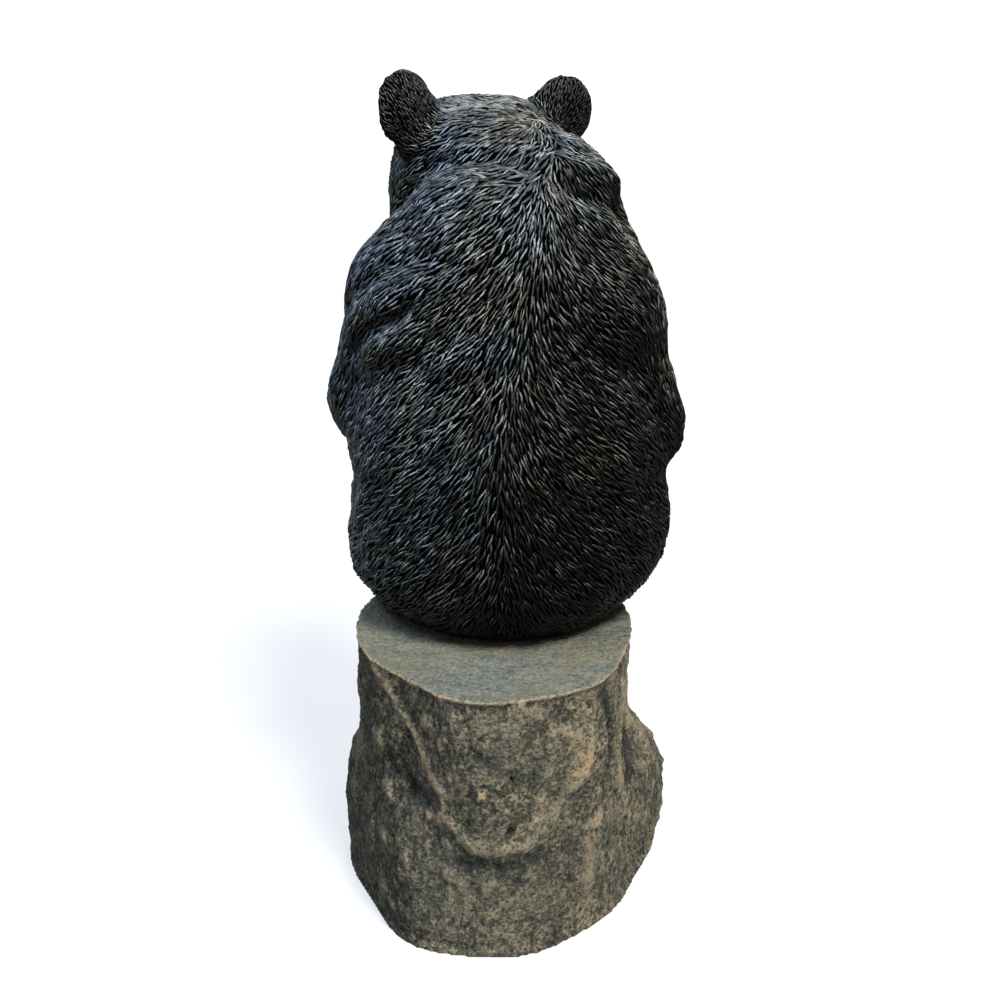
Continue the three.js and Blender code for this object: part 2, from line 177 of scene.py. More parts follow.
def add(material, kind, links=(), **values):
    """One node. links are (input, output socket) pairs, and values set its properties."""
    made = material.node_tree.nodes.new("ShaderNode" + kind)
    for key, value in values.items():
        setattr(made, key, value)
    for key, source in links:
        if hasattr(source, "is_output"):
            material.node_tree.links.new(source, made.inputs[key])
        else:
            made.inputs[key].default_value = source
    return made


def feed(material, key, source):
    material.node_tree.links.new(source, material.node_tree.nodes["Principled BSDF"].inputs[key])


def object_point(material):
    return add(material, "TexCoord").outputs["Object"]


def number(material, name):
    """A value kept with the points of a mesh, such as ridge or proud."""
    return add(material, "Attribute", attribute_name=name).outputs["Fac"]


def facing(material):
    """The X, Y and Z of the direction that the surface faces."""
    return add(material, "SeparateXYZ", [("Vector", add(material, "NewGeometry").outputs["Normal"])]).outputs


def remap(material, value, low, high, start=0.0, end=1.0):
    links = [("Value", value), (1, low), (2, high), (3, start), (4, end)]
    return add(material, "MapRange", links).outputs[0]


def maths(material, operation, *values):
    return add(material, "Math", enumerate(values), operation=operation).outputs[0]


def vector_maths(material, operation, *values):
    return add(material, "VectorMath", enumerate(values), operation=operation).outputs


def speckle(material, point, scale, detail=2, roughness=0.5):
    links = [("Vector", point), ("Scale", scale), ("Detail", detail), ("Roughness", roughness)]
    return add(material, "TexNoise", links).outputs["Fac"]


def ramp(material, source, *stops):
    """A colour ramp. Each stop is a place from 0 to 1 and a grey level or a colour."""
    made = add(material, "ValToRGB", [("Fac", source)])
    band = made.color_ramp
    while len(band.elements) < len(stops):
        band.elements.new(0.5)
    for element, (place, colour) in zip(band.elements, stops):
        element.position = place
        element.color = (*colour, 1) if isinstance(colour, tuple) else (colour, colour, colour, 1)
    return made.outputs["Color"]


def blend(material, share, under, over, mode="MIX"):
    links = [(0, share), (6, under), (7, over)]
    return add(material, "Mix", links, data_type="RGBA", blend_type=mode).outputs[2]


def times(material, under, over, share=1.0):
    return blend(material, share, under, over, "MULTIPLY")


def relief(material, height, distance, strength=1.0, below=None):
    links = [("Height", height), ("Distance", distance), ("Strength", strength)]
    if below is not None:
        links.append(("Normal", below))
    return add(material, "Bump", links).outputs["Normal"]


GLOW_RISES = (1.1, 3.0)


def pale_paint(name, level, glow):
    """Pale paint that glows, and rises to full white far from the figurine, so that no horizon shows."""
    material = finish(name, 0.9, 0.1)
    point = object_point(material)
    shade = speckle(material, point, 3)
    feed(material, "Base Color", ramp(material, shade, (0.3, level), (0.7, level + 0.03)))
    away = vector_maths(material, "LENGTH", point)["Value"]
    far = remap(material, away, *GLOW_RISES, glow, 1.04)
    feed(material, "Emission Color", times(material, ramp(material, shade, (0.3, 0.97), (0.7, 1.0)), far))
    material.node_tree.nodes["Principled BSDF"].inputs["Emission Strength"].default_value = 1
    return material


floor.data.materials.append(pale_paint("pale_floor", 0.3, 0.56))
backdrop.data.materials.append(pale_paint("pale_backdrop", 0.1, 1.0))
print("floor and backdrop painted")

# %% [markdown]
# A solid from the part is made of large flat facets. To carve it finely, its surface is first remade in small even
# squares, which the Remesh modifier does from a merged copy. The solid itself is never changed.


# %% An even skin over a solid
def merged_copy(node):
    bm = bmesh.new()
    bm.from_mesh(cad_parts[node].data)
    bmesh.ops.remove_doubles(bm, verts=bm.verts, dist=1e-6)
    return bm


def even_skin(node, voxel):
    merged = piece_of(merged_copy(node), node)
    remesh = merged.modifiers.new("even", "REMESH")
    remesh.mode = "VOXEL"
    remesh.voxel_size = voxel
    bpy.context.view_layer.update()
    even = bpy.data.meshes.new_from_object(merged.evaluated_get(bpy.context.evaluated_depsgraph_get()))
    bpy.data.objects.remove(merged)
    bm = bmesh.new()
    bm.from_mesh(even)
    return bm


def places(bm):
    return np.array([v.co for v in bm.verts])


def smooth(bm, chosen, passes):
    verts = [v for v, keep in zip(bm.verts, chosen) if keep]
    for _ in range(passes):
        bmesh.ops.smooth_vert(bm, verts=verts, factor=0.5, use_axis_x=True, use_axis_y=True, use_axis_z=True)


def smoothstep(values, low, high):
    t = np.clip((values - low) / (high - low), 0, 1)
    return t * t * (3 - 2 * t)


def swell(off, wide):
    """A round bump over a distance: 1 in its middle, and next to nothing at twice its width."""
    return np.exp(-((off / wide) ** 2))


def gap_to(points, at):
    return np.linalg.norm(points - at, axis=1)


BARK_GRID = 1.45 * MM
COAT_GRID = 2.05 * MM
bark = even_skin("stump", BARK_GRID)
coat = even_skin("bear", COAT_GRID)
print("stump", len(bark.faces), "faces, bear", len(coat.faces))

# %% [markdown]
# The stump's bark is carved in three sizes. The ridges, the shield-shaped swelling and the hollows under it are
# drawn as lines round the trunk, each by its bearing and its height. Lumps and pits over them come from noise.
# Bearing 0 is the bear's left, and 90 is its back. Carving only sinks the surface, so it never outgrows its solid.

# %% Ridges of the bark
TRUNK_AT = np.array((1.6, -3)) * MM
STUMP_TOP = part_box("stump")[1].z
TRUNK_RADIUS = 75 * MM

# Bearing in degrees and height in mm of each point, then how proud and how wide the ridge is, in mm.
RIDGES = [
    ([(31, 157), (45, 138), (52, 127), (57, 110), (65, 101)], 1.7, 3.2),
    ([(65, 101), (67, 84), (78, 74), (89, 70), (103, 71), (114, 84)], 1.5, 3.4),
    ([(114, 84), (122, 95), (127, 106), (129, 122)], 1.2, 3),
    ([(99, 158), (108, 147), (114, 138), (126, 124)], 1.3, 2.6),
    ([(130, 134), (128, 116), (126, 99)], 1.7, 3),
    ([(137, 72), (130, 60), (132, 40), (134, 18)], 1.6, 3.8),
    ([(69, 55), (75, 46), (78, 38), (79, 24)], 1.5, 3.4),
    ([(34, 27), (39, 23), (44, 18)], 1.4, 3),
    ([(22, 74), (25, 56), (25, 42)], 1.5, 3),
    ([(158, 140), (164, 112), (160, 84), (166, 58)], 1.5, 3.4),
    ([(186, 150), (190, 124), (186, 100), (192, 74)], 1.6, 3.2),
    ([(208, 128), (214, 100), (220, 72), (214, 40)], 1.7, 3.6),
    ([(236, 152), (242, 128), (238, 98), (246, 66)], 1.6, 3.4),
    ([(262, 120), (268, 92), (264, 60), (270, 30)], 1.7, 3.8),
    ([(288, 150), (293, 126), (289, 100), (284, 72)], 1.6, 3.2),
    ([(312, 136), (318, 104), (314, 76), (320, 44)], 1.6, 3.4),
    ([(338, 150), (342, 120), (336, 92), (341, 62)], 1.5, 3.2),
    ([(2, 134), (6, 108), (0, 84), (4, 52)], 1.5, 3.2),
]
HOLLOWS = [
    ([(36, 105), (44, 100), (54, 91)], 1.5, 6),
    ([(74, 62), (90, 58), (106, 62)], 1.7, 5.4),
    ([(137, 150), (145, 120), (146, 100), (141, 82)], 1.8, 4),
    ([(78, 128), (92, 118), (104, 112)], 0.9, 6),
    ([(172, 140), (176, 104), (174, 70)], 1.8, 4.6),
    ([(226, 140), (230, 108), (228, 70)], 1.9, 4.6),
    ([(276, 130), (277, 100), (275, 64)], 1.8, 4.4),
    ([(328, 124), (329, 96), (327, 62)], 1.8, 4.6),
]


def line_share(bearing, height, line, width):
    """How near each point of the bark is to a line, from 0 far away to 1 on it."""
    turn = (np.radians(bearing)[:, None] - np.radians([b for b, _ in line]) + math.pi) % (2 * math.pi) - math.pi
    x = turn * TRUNK_RADIUS
    y = height[:, None] - np.array([h for _, h in line]) * MM
    nearest = np.full(len(bearing), 1.0)
    for i in range(len(line) - 1):
        along = np.stack((x[:, i] - x[:, i + 1], y[:, i] - y[:, i + 1]), 1)
        length2 = np.maximum((along**2).sum(1), 1e-12)
        t = np.clip((x[:, i] * along[:, 0] + y[:, i] * along[:, 1]) / length2, 0, 1)
        off = np.hypot(x[:, i] - t * along[:, 0], y[:, i] - t * along[:, 1])
        nearest = np.minimum(nearest, off)
    return swell(nearest, width * MM)


def grain(points, scale, octaves=2):
    """Noise from about -1 to 1, with features of the given size, which is one number or one for each axis."""
    stretched = points / np.asarray(scale)
    return np.array([noise.fractal(Vector(p), 0.9, 2.1, octaves) for p in stretched])


bark.normal_update()
spots = places(bark)
bearing = np.degrees(np.arctan2(spots[:, 1] - TRUNK_AT[1], spots[:, 0] - TRUNK_AT[0]))
height = spots[:, 2]
smooth(bark, (height > 1 * MM) & (height < STUMP_TOP - 2.4 * MM), passes=4)
print("ridges", len(RIDGES), "hollows", len(HOLLOWS))

# %% [markdown]
# What is lifted and what is sunk is also kept with the mesh, as a value named proud. The paint reads it later: a
# painter drags a nearly dry brush over such bark, so the light colour catches on whatever stands out.

# %% Carving the bark
SINK_ALL = 2.2 * MM
SAWN_SINK = 0.22 * MM
RIM_WIDE = 5 * MM
side_share = smoothstep(STUMP_TOP - height, 0.4 * MM, 3.5 * MM) * smoothstep(height, 0.5 * MM, 6 * MM)
top_share = (np.array([v.normal.z for v in bark.verts]) > 0.8) & (height > STUMP_TOP - 1 * MM)

drift = grain(spots + 5, 13 * MM)
strayed_bearing = bearing + 2.6 * drift
strayed_height = height + 3 * MM * grain(spots + 6, 12 * MM)
uneven = np.clip(0.85 + 0.5 * grain(spots + 7, 9 * MM), 0.2, 1.5)
ridge, hollow = (
    uneven * sum(most * line_share(strayed_bearing, strayed_height, line, width) for line, most, width in lines)
    for lines in (RIDGES, HOLLOWS)
)
lumps = grain(spots, np.array((11, 11, 17)) * MM, 3)
knobs = grain(spots + 1, np.array((4.2, 4.2, 6.5)) * MM)
pits = np.clip(grain(spots + 2, np.array((2.3, 2.3, 3.2)) * MM), -0.9, 1)
carved = 1.35 * ridge - 1.25 * hollow + 0.9 * lumps + 0.6 * knobs + 0.6 * pits
depth = np.minimum(carved * MM - SINK_ALL, -0.05 * MM) * side_share
depth += -SAWN_SINK * (1 + grain(spots, 3 * MM)) * top_share

rim_off = np.abs(STUMP_TOP - height)
chips = np.clip(grain(spots + 3, 5 * MM, 3), -1, 1)
near_rim = (rim_off < RIM_WIDE) & ~top_share
depth += np.where(near_rim, -1.0 * MM * (1 + chips) * (1 - rim_off / RIM_WIDE), 0)

for v, off in zip(bark.verts, depth):
    v.co += v.normal * off
proud_layer = bark.verts.layers.float.new("proud")
paint_height = 0.47 + 0.16 * ridge - 0.17 * hollow + 0.12 * lumps + 0.1 * knobs + 0.2 * pits
paint_height += 0.5 * swell(rim_off, 1.5 * MM) * ~top_share
rim = np.flatnonzero(near_rim & (rim_off < 1.6 * MM))
rim_tree = KDTree(len(rim))
for i in rim:
    rim_tree.insert(spots[i], i)
rim_tree.balance()
for v, spot, value, chip, top in zip(bark.verts, spots, paint_height, chips, top_share):
    if top:
        value = 0.5 + 0.3 * (1 + chip) * swell(rim_tree.find(spot)[2], 1.7 * MM)
    v[proud_layer] = min(max(float(value), 0), 1)
stump = piece_of(bark, "stump_bark")
print("bark sunk by up to", round(-depth.min() / MM, 2), "mm over", len(stump.data.polygons), "faces")

# %% [markdown]
# The stump's paint starts as a dark grey-green wash. Tan is dry-brushed over the proud places, and the wash stays in
# the hollows. Both are broken up by speckles and by small round pits, darker in the middle. The side towards the
# bear's left is dimmer: that is painted shade, put in the paint by the way the surface faces, as the photograph
# shows that side dimmer. That may be paint or only shade; here it is put in the paint. The sawn top is a lighter,
# flatter grey with streaks and olive patches, and has a tan line along its chipped rim, where proud is high. The
# same pits and speckles give the paint its relief.

# %% Paint of the stump
grey_bark = finish("grey_bark", 0.85, 0.25)
here = object_point(grey_bark)
proud = number(grey_bark, "proud")
patch = speckle(grey_bark, here, 150, 4, 0.7)
fine = speckle(grey_bark, here, 560, 3, 0.7)
level = maths(grey_bark, "MULTIPLY", proud, 0.37)
level = maths(grey_bark, "MULTIPLY_ADD", patch, 0.2, level)
level = maths(grey_bark, "MULTIPLY_ADD", fine, 0.43, level)
tans = ramp(grey_bark, speckle(grey_bark, here, 40), (0.42, (0.29, 0.245, 0.15)), (0.58, (0.37, 0.262, 0.158)))
greens = [(0.375, (0.01, 0.011, 0.009)), (0.455, (0.053, 0.052, 0.036)), (0.545, (0.18, 0.157, 0.102))]
wash = blend(grey_bark, ramp(grey_bark, level, (0.5, 0.0), (0.64, 1.0)), ramp(grey_bark, level, *greens), tans)
cool = ramp(grey_bark, speckle(grey_bark, here, 22), (0.44, 0.0), (0.6, 0.55))
wash = blend(grey_bark, cool, wash, blend(grey_bark, 0.6, wash, (0.06, 0.068, 0.056, 1)))
cells = add(grey_bark, "TexVoronoi", [("Vector", here), ("Scale", 430)]).outputs["Distance"]
pitted = ramp(grey_bark, cells, (0.12, 0.12), (0.36, 1.0))
wash = times(grey_bark, wash, pitted, 0.8)
faces_to = facing(grey_bark)
# Painted shade: where the surface faces the bear's left, the wash is dimmed, down to 0.4 of its colour.
wash = times(grey_bark, wash, remap(grey_bark, faces_to["X"], 0.2, 0.8, 1.0, 0.4))

height_here = add(grey_bark, "SeparateXYZ", [("Vector", here)]).outputs["Z"]
high = remap(grey_bark, height_here, STUMP_TOP - 2 * MM, STUMP_TOP - 0.8 * MM)
on_top = maths(grey_bark, "MULTIPLY", high, remap(grey_bark, faces_to["Z"], 0.55, 0.85))
stretched = add(grey_bark, "Mapping", [("Vector", here), ("Scale", (1, 2.4, 1))]).outputs[0]
greys = [(0.38, (0.07, 0.082, 0.072)), (0.52, (0.115, 0.118, 0.09)), (0.66, (0.165, 0.142, 0.095))]
sawn = ramp(grey_bark, speckle(grey_bark, stretched, 60, 4, 0.6), *greys)
sawn = blend(grey_bark, 0.4, sawn, ramp(grey_bark, fine, (0.36, (0.02, 0.023, 0.02)), (0.62, (0.27, 0.26, 0.2))))
olive = ramp(grey_bark, speckle(grey_bark, here, 18), (0.47, 0.0), (0.56, 0.6))
sawn = blend(grey_bark, olive, sawn, blend(grey_bark, 0.5, sawn, (0.15, 0.125, 0.07, 1)))
sawn = times(grey_bark, sawn, pitted, 0.35)
sawn = blend(grey_bark, ramp(grey_bark, proud, (0.6, 0.0), (0.76, 0.85)), sawn, tans)
feed(grey_bark, "Base Color", blend(grey_bark, on_top, wash, sawn))
feed(grey_bark, "Roughness", ramp(grey_bark, fine, (0.3, 0.95), (0.7, 0.72)))
coarse = relief(grey_bark, speckle(grey_bark, here, 380, 3, 0.65), 1.8 * MM, 0.9)
feed(grey_bark, "Normal", relief(grey_bark, fine, 0.9 * MM, 0.9, relief(grey_bark, cells, 0.7 * MM, 0.7, coarse)))
stump.data.materials.append(grey_bark)
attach(stump, "root")
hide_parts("stump")
print("stump painted:", len(grey_bark.node_tree.nodes), "nodes")

# %% [markdown]
# The forms of the bear are needed as distances, to say where a foot ends and a shin begins. Two kinds are enough:
# a ball with three radii, and a limb that tapers from one round end to the other.


# %% Forms of the bear
def ball(points, centre, radii):
    away = (points - np.array(centre)) / np.array(radii)
    near = np.linalg.norm(away, axis=1)
    return near * (near - 1) / np.maximum(np.linalg.norm(away / np.array(radii), axis=1), 1e-6)


def limb(points, start, end, start_radius, end_radius):
    start, along = np.array(start), np.subtract(end, start)
    t = np.clip((points - start) @ along / max(along @ along, 1e-9), 0, 1)
    return gap_to(points, start + t[:, None] * along) - start_radius - (end_radius - start_radius) * t


EYE_AT = (6.2, -13.9, 3.2)
EYE_RADIUS = 1.9
NOSE_AT = (0, -26.7, -2.2)
NOSE_RADII = np.array((3.9, 2.8, 3.1))
EAR_AT = (15, 2.6, 9.2)
EAR_RADII = (5.5, 3.6, 7.2)
FACE_AT = (0, -18, -3)
TOES = (-2, -1, 0, 1, 2)
KNEE_AT = 16.8
HEEL_AT = (16.4, -36.5, -15)
SOLE_AT = (17.6, -45, -9)
ELBOW_AT = {1: (23.5, -17, 39), -1: (-23.4, -13, 35.5)}
PAW_AT = {1: (13.5, -40, 27), -1: (-13.5, -40, 26.5)}
LIPS = [(0, -27.9, -5), (0, -27.3, -7.3), (2.6, -25.7, -8.6), (4, -22.5, -9.4), (4.8, -18, -9.2)]
LIPS += [(6.4, -13.5, -8.2), (7.6, -11, -7)]


def line_off(points, line):
    return np.min([limb(points, a, b, 0, 0) for a, b in zip(line, line[1:])], axis=0)


def lips_off(local):
    """How far points in the head's frame are from the line of the mouth."""
    return line_off(local * (np.sign(local[:, :1]) * (1, 0, 0) + (0, 1, 1)), LIPS)


def mirrored(at, side):
    return np.array(at) * (side, 1, 1)


def ear_off(local, side):
    return ball(local, mirrored(EAR_AT, side), EAR_RADII)


def foot_off(points, side):
    return limb(points, mirrored(HEEL_AT, side), mirrored(SOLE_AT, side), 6.8, 7)


def paw_off(points, side):
    return ball(points, PAW_AT[side], (7.4, 7.4, 5.4))


def least(off, points):
    """The smaller of a distance on the bear's left and on its right."""
    return np.min([off(points, side) for side in SIDES], axis=0)


def ear_root(local):
    """Above zero on the head's side of the slanting line where its fur covers the foot of an ear."""
    return 14.5 - (0.848 * np.abs(local[:, 0]) + 0.53 * local[:, 2])


CLAW_LONG = 1.6 * 8 / 2.9 * 0.9


def claws():
    """Start and tip of each claw, in units."""
    dip = math.radians(20)
    reach = np.array((0, -math.cos(dip), -math.sin(dip))) * CLAW_LONG
    for side in SIDES:
        x, y, z = PAW_AT[side]
        for digit in TOES:
            at = np.array((x + 3 * digit, y - 6.6 + 0.39 * digit**2 - 1.74, z - 0.8 + 0.75))
            yield at, at + reach
        x, y, z = SOLE_AT
        for digit in TOES:
            back, up = 0.403 * digit**2 - 1.8, 0.84 - 0.248 * digit**2
            at = np.array((x * side + 3.1 * digit, y - 3.8 + back, z + 5.2 + up))
            yield at, at + reach


CLAWS = list(claws())
print(len(CLAWS), "claws, first from", CLAWS[0][0].round(1), "to", CLAWS[0][1].round(1))

# %% [markdown]
# The bear's skin is what shows between the strokes of fur. Its facets are smoothed away, most on the back, and
# least on the face, the paws and where it sits on the stump. The solid's claws are melted back into the toes,
# because curved ones are made for them later.

# %% Smoothing the skin
solid = merged_copy("stump")
stump_tree = BVHTree.FromBMesh(solid)
solid.free()


def stump_off(points, reach=0.03):
    """How far points are from the stump, below zero inside it."""
    off = np.full(len(points), reach)
    for i in np.flatnonzero(points[:, 2] < STUMP_TOP + reach):
        at, normal, _, distance = stump_tree.find_nearest(points[i])
        inside = (Vector(points[i]) - at).dot(normal) < 0
        off[i] = -distance if inside else min(distance, reach)
    return off


def zones(points):
    """Where the face, the ears, the paws and the claws are."""
    local = to_head(points)
    face = (gap_to(local, FACE_AT) < 15) & (local[:, 1] < -7)
    ears = least(ear_off, local) < 1
    paws = np.minimum(least(foot_off, points), least(paw_off, points)) < 3.4
    nails = np.min([limb(points, a + 0.3 * (b - a), b, 1.5, 1.5) for a, b in CLAWS], axis=0) < 0
    return face, ears, paws, nails


spots = places(coat)
seated = stump_off(spots) < 0.7 * MM
face, ears, paws, nails = zones(to_units(spots))
smooth(coat, nails, passes=45)
smooth(coat, ~(seated | face | ears | paws), passes=26)
smooth(coat, ears & ~seated, passes=7)
smooth(coat, (face | paws) & ~seated & ~nails, passes=5)
smooth(coat, ~(seated | face | ears | paws | nails), passes=4)
print("smoothed", int((~seated).sum()), "of", len(spots), "points;", int(seated.sum()), "sit on the stump")

# %% [markdown]
# The coat isn't one smooth curve. A roll of fat lies over the nape, the shoulder has two folds, and the fur stands
# in tufts. Folds are lines that are pressed in, swellings are pushed out, and the tufts come from noise.

# %% Folds and tufts
# The points of each line, then how far it is lifted (below zero: pressed in) and how wide it is, in units.
FOLDS = [
    (
        [(18.3, -13.5, 74.9), (16.1, -11.4, 78.5), (12.5, -9.5, 82.7)]
        + [(8.3, -7.4, 84.5), (0, -5.5, 84.9), (-4, -4.5, 84.1)],
        -0.95,
        1.5,
    ),
    ([(18.6, -8.5, 71.5), (15, -6, 75.6), (10.5, -3.6, 79.6), (5, -2, 81.4)], 0.75, 2.6),
    ([(-10.6, -3, 80.5), (-13.9, -4.1, 78.6), (-19.4, -9.3, 74.8)], -0.8, 1.5),
    ([(-9, -6, 84), (-14, -8, 82.4), (-18, -13, 79)], 0.6, 2.2),
    ([(13, 1.5, 70), (17.5, -1.5, 67), (21, -4, 64), (24.5, -8, 60)], -0.7, 1.7),
    ([(12, 4, 65.5), (15.5, 3, 64.4), (19, 0.6, 61.8)], 0.6, 2.4),
    ([(16.5, 3.8, 61.5), (20, 2.1, 59.1), (23.2, -0.8, 55.9), (26.5, -5.6, 51.7)], -0.85, 1.5),
    ([(16.5, 4.6, 57.6), (20.5, 2.2, 55.6), (23.4, -0.6, 52.6)], 0.8, 2.5),
    ([(-14, 3, 66), (-18, 0.5, 62), (-21.5, -3, 57)], 0.5, 3),
    ([(-12, 6, 58), (-17, 4, 53), (-22, 0, 49)], -0.45, 2),
    ([(-18.5, -15, 81), (-19.5, -13, 77.5)], -0.6, 3),
]
FOLD_DEEP = 1.45
CROWN_RISE = 1.1
CROWN_FLAT = 1.5
EAR_ROOT_RISE = 1.35
TUFT_DEEP = 0.55


def nearest_spot(at):
    """The point of the coat that is nearest to a place near it."""
    return spots[np.argmin(((spots - at) ** 2).sum(1))]


spots = to_units(places(coat))
coat.normal_update()
lift = np.zeros(len(spots))
for line, rise, wide in FOLDS:
    snapped = [nearest_spot(p) for p in line]
    lift += FOLD_DEEP * rise * swell(line_off(spots, snapped), wide)
local = to_head(spots)
lift -= CROWN_FLAT * swell(gap_to(local, (1.4, 3, 11.8)), 4.4)
fleshy = smoothstep(-least(ear_off, local), -3.5, -0.5) * smoothstep(local[:, 1], -3, 2)
lift += EAR_ROOT_RISE * swell(ear_root(local) - 0.9, 1.7) * fleshy
lift += CROWN_RISE * swell(gap_to(local, (-7.5, 2, 11.8)), 4.6)
tufts = grain(spots * (1, 1, 0.55), 4.2)
away_from_face = smoothstep(local[:, 1], -12, -2) + (np.linalg.norm(local, axis=1) > 22)
lift += TUFT_DEEP * tufts * np.minimum(away_from_face, 1) * ~paws
lift *= smoothstep(stump_off(places(coat), 8 * MM), 0.6 * MM, 6 * MM)
for v, off in zip(coat.verts, lift):
    v.co += v.normal * off * UNIT
moved = [round(float(v * UNIT / MM), 1) for v in (lift.min(), lift.max())]
print("folds", len(FOLDS), "moved the coat by", moved[0], "to", moved[1], "mm")

# %% [markdown]
# The face is out of the photograph's sight, so it is a plain black bear's: small eyes in shallow sockets under a
# brow, a broad nose pad and a closed mouth. Its skin is divided once more, so that lids and lips can be carved.

# %% Carving the face
spots = to_head(to_units(places(coat)))
front = (gap_to(spots, FACE_AT) < 14.5) & (spots[:, 1] < -9)
chosen = {v for v, keep in zip(coat.verts, front) if keep}
edges = [e for e in coat.edges if e.verts[0] in chosen and e.verts[1] in chosen]
bmesh.ops.subdivide_edges(coat, edges=edges, cuts=1, use_grid_fill=True)
spots = to_head(to_units(places(coat)))
front = (gap_to(spots, FACE_AT) < 14) & (spots[:, 1] < -9.4)
smooth(coat, front, passes=2)
coat.normal_update()
spots = to_head(to_units(places(coat)))
normals = np.array([v.normal for v in coat.verts])
lift = np.zeros(len(spots))
for side in SIDES:
    away = spots - mirrored(EYE_AT, side)
    off = np.linalg.norm(away, axis=1)
    lid = 0.4 + 0.4 * smoothstep(away[:, 2], -1, 1.5)
    lift += lid * swell(off - 2.6, 0.75)
    lift -= 0.9 * swell(off, 1.6)
    lift -= 0.5 * swell(gap_to(away, mirrored((-2.3, -0.6, -1.1), side)), 1.1)
lips = lips_off(spots)
lift -= 0.8 * swell(lips, 0.5) * (spots[:, 1] < -8)
lift += 0.16 * swell(lips - 1.2, 0.7) * (spots[:, 1] < -10)
lift -= 0.2 * swell(spots[:, 0], 1.3) * smoothstep(spots[:, 2], 1, 4) * (spots[:, 1] < -12)
for v, off, normal in zip(coat.verts, lift, normals):
    if off:
        v.co += Vector(normal * off * UNIT)
print("face points", int(front.sum()))

# %% [markdown]
# The soles and palms of a bear are bare: a broad pad, a heel pad, and a small one under each claw, with fur between
# them. They are raised a little. Two values go with the skin for its paint: pad, and dark, by the lips and the nose.

# %% Pads of the paws
PAD_RISE = 0.42
PADS = []
for side in SIDES:
    x, y, z = side * SOLE_AT[0], SOLE_AT[1], SOLE_AT[2]
    PADS.append(((x - 3.6, y - 4.6, z - 4.2), (x + 3.6, y - 4.6, z - 4.2), 2.5))
    PADS.append(((side * HEEL_AT[0], -41, -20.5), (side * HEEL_AT[0], -42, -19.5), 2.3))
    PADS += [((x + 3.1 * d, y - 6.6 + 0.4 * d * d, z + 1 - 0.2 * d * d),) * 2 + (1.25,) for d in TOES]
    x, y, z = PAW_AT[side]
    PADS.append(((x - 3.2, y - 3, z - 5), (x + 3.2, y - 3, z - 5), 2.1))
    PADS += [((x + 3 * d, y - 6.3 + 0.39 * d * d, z - 3.4),) * 2 + (1.15,) for d in TOES]

spots = to_units(places(coat))
coat.normal_update()
for i, (a, b, radius) in enumerate(PADS):
    PADS[i] = (nearest_spot(a), nearest_spot(b), radius)


def pads_off(points):
    """How far points are from the edge of the nearest pad, below zero on a pad."""
    return np.min([limb(points, a, b, radius, radius) for a, b, radius in PADS], axis=0)


pad_share = smoothstep(-pads_off(spots), -0.35, 0.35)
lips = lips_off(to_head(spots))
by_nose = smoothstep(-ball(to_head(spots), NOSE_AT, NOSE_RADII), -0.9, -0.3)
pad_layer, dark_layer = (coat.verts.layers.float.new(name) for name in ("pad", "dark"))
for v, pad, lip, nosed in zip(coat.verts, pad_share, lips, by_nose):
    v[pad_layer] = float(pad)
    v[dark_layer] = max(float(swell(lip, 0.55)), float(nosed))
    v.co += v.normal * (PAD_RISE * UNIT * pad)
print(len(PADS), "pads over", int((pad_share > 0.5).sum()), "points of the skin")

# %% [markdown]
# Now the skin is finished, it becomes a piece. A search tree of it is kept, so that strokes can be laid on it.

# %% The skin as a piece
SKIN_GAP = 0.15 * MM
SHORTEST_EDGE = 0.002 * MM
for v, off in zip(coat.verts, stump_off(places(coat), 2 * MM)):
    if off < SKIN_GAP:
        at, normal, _, _ = stump_tree.find_nearest(v.co)
        v.co = at + normal * SKIN_GAP
bmesh.ops.dissolve_degenerate(coat, dist=SHORTEST_EDGE, edges=coat.edges)
bmesh.ops.triangulate(coat, faces=coat.faces)
coat.normal_update()
skin_tree = BVHTree.FromBMesh(coat)
skin_points = places(coat)
skin_normals = np.array([v.normal for v in coat.verts])
skin_faces = np.array([[v.index for v in f.verts] for f in coat.faces])
skin = piece_of(coat, "bear_skin")
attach(skin, "root")
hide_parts("bear")
print("skin has", len(skin_faces), "triangles")

# %% [markdown]
# Fur is combed before it is carved. Each part of the body has its own comb: down and outwards from a parting on
# the back, along each limb, away from a crown on the back of the head, and back from the nose on the face. Between
# the parts, the combs are mixed by how near each one is. With every comb go the length, width and height of a
# stroke there, in millimetres.


# %% The comb
def unit(vectors):
    return vectors / np.maximum(np.linalg.norm(vectors, axis=1), 1e-9)[:, None]


def steady(points, direction):
    return unit(np.tile(np.array(direction, float), (len(points), 1)))


CROWN_AT = np.array((-9.5, -12, 94))
PARTING_LEAN = 8.5
PARTING_BENDS = (34, 84)


def torso_comb(points):
    parting = -PARTING_LEAN * smoothstep(points[:, 2], *PARTING_BENDS)
    off = points[:, 0] - parting
    behind = smoothstep(points[:, 1], -30, -12)
    spread = np.sign(off) * (1 - np.exp(-np.abs(off) / 8)) * (0.25 + 0.85 * behind)
    tuck = -0.35 * np.abs(spread) * behind
    return unit(np.stack((spread, tuck, np.full(len(off), -1.0)), 1))


def head_comb(points, local):
    back = unit((points - CROWN_AT) * (1, 0.5, 1) + (0, 0, -2))
    brow = unit(local - (0, -31, -5)) @ HEAD_TURN.T
    rear = smoothstep(local[:, 1], -7, 3)[:, None]
    return unit(back * rear + brow * (1 - rear))


